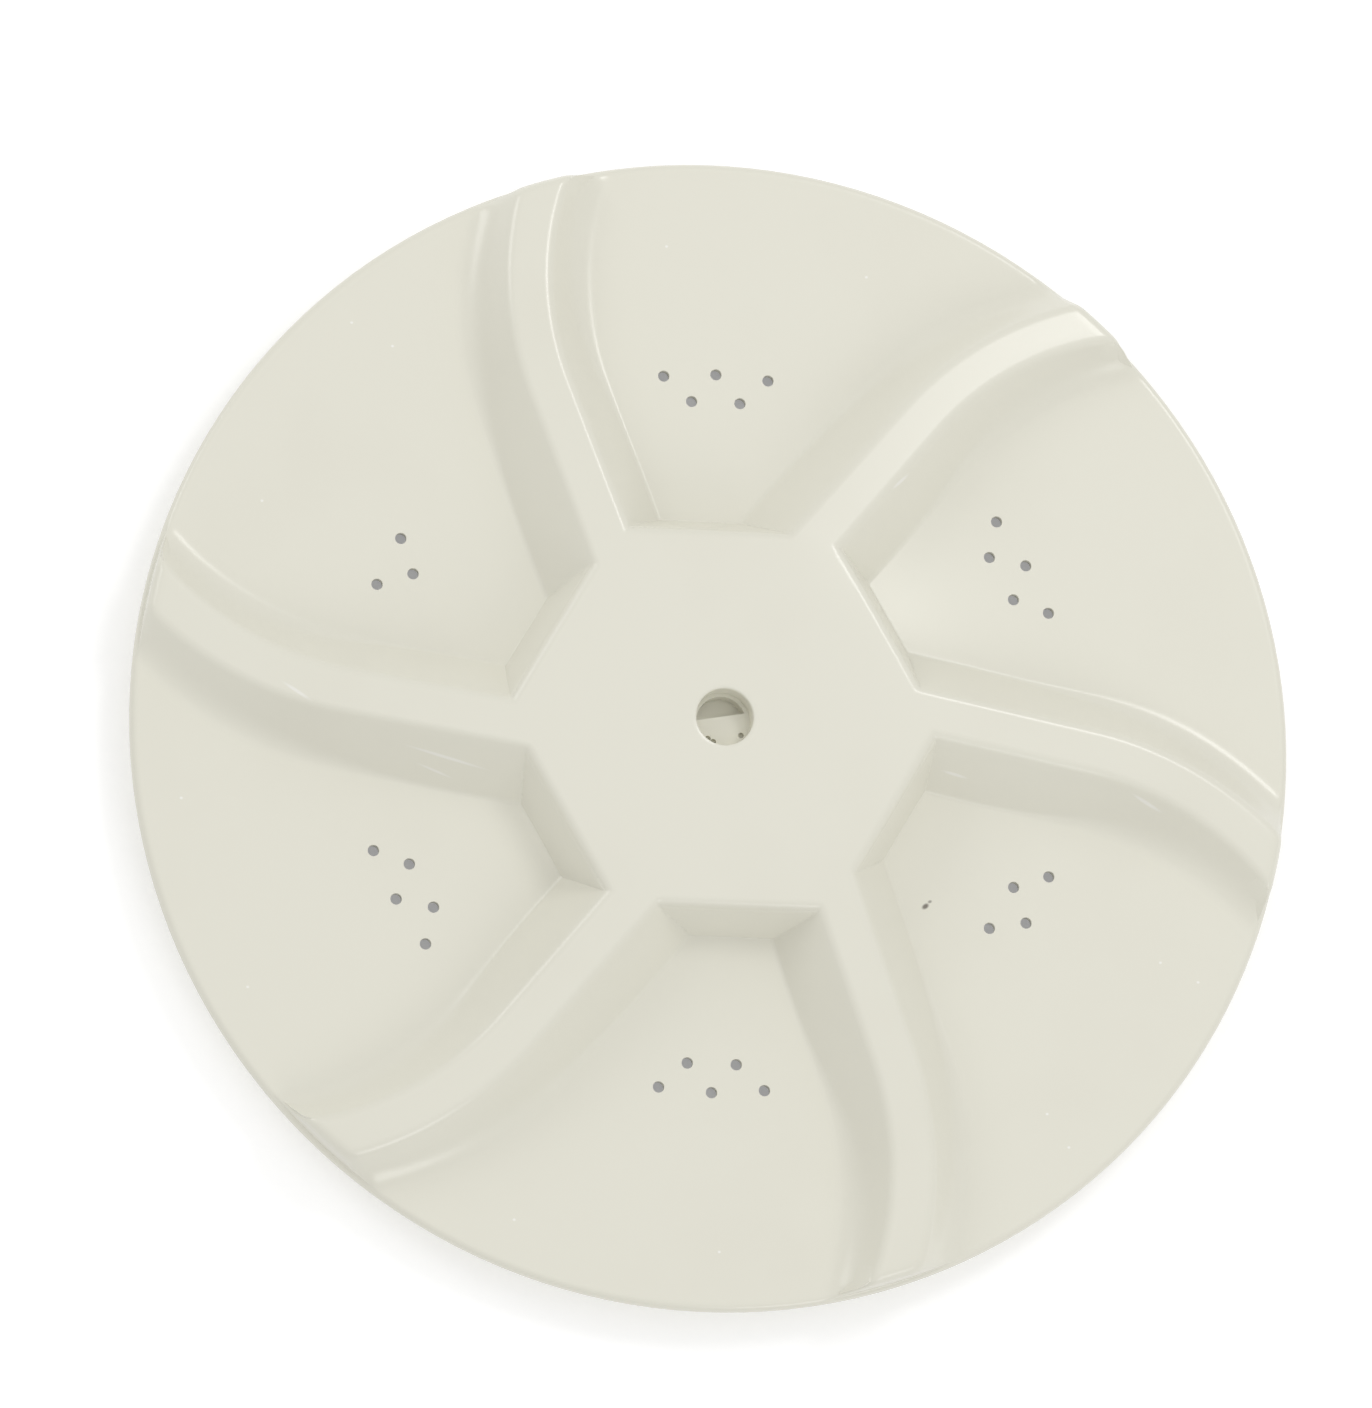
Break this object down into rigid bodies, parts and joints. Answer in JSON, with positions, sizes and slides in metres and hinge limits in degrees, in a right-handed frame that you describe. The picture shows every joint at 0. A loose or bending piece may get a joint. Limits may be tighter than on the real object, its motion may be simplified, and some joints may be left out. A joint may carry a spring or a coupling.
{
  "type": "washing machine pulsator",
  "caption": "One-piece moulded washer pulsator: a thin dished disc with curved hollow vanes on a low six-sided hub, drain holes, and a serrated shaft boss underneath.",
  "frame": {"origin": "on the turning axis, in the plane that the skirt rests on", "axes": "+Z up along the turning axis, out of the hub; +X to the right and +Y up in the picture's view"},
  "size_m": [0.345, 0.345, 0.0339],
  "materials": {
    "ivory_plastic": "semi-gloss moulded ivory plastic with light scuffs"
  },
  "bodies": {
    "root": {"pulsator": "ivory_plastic"}
  },
  "joints": []
}
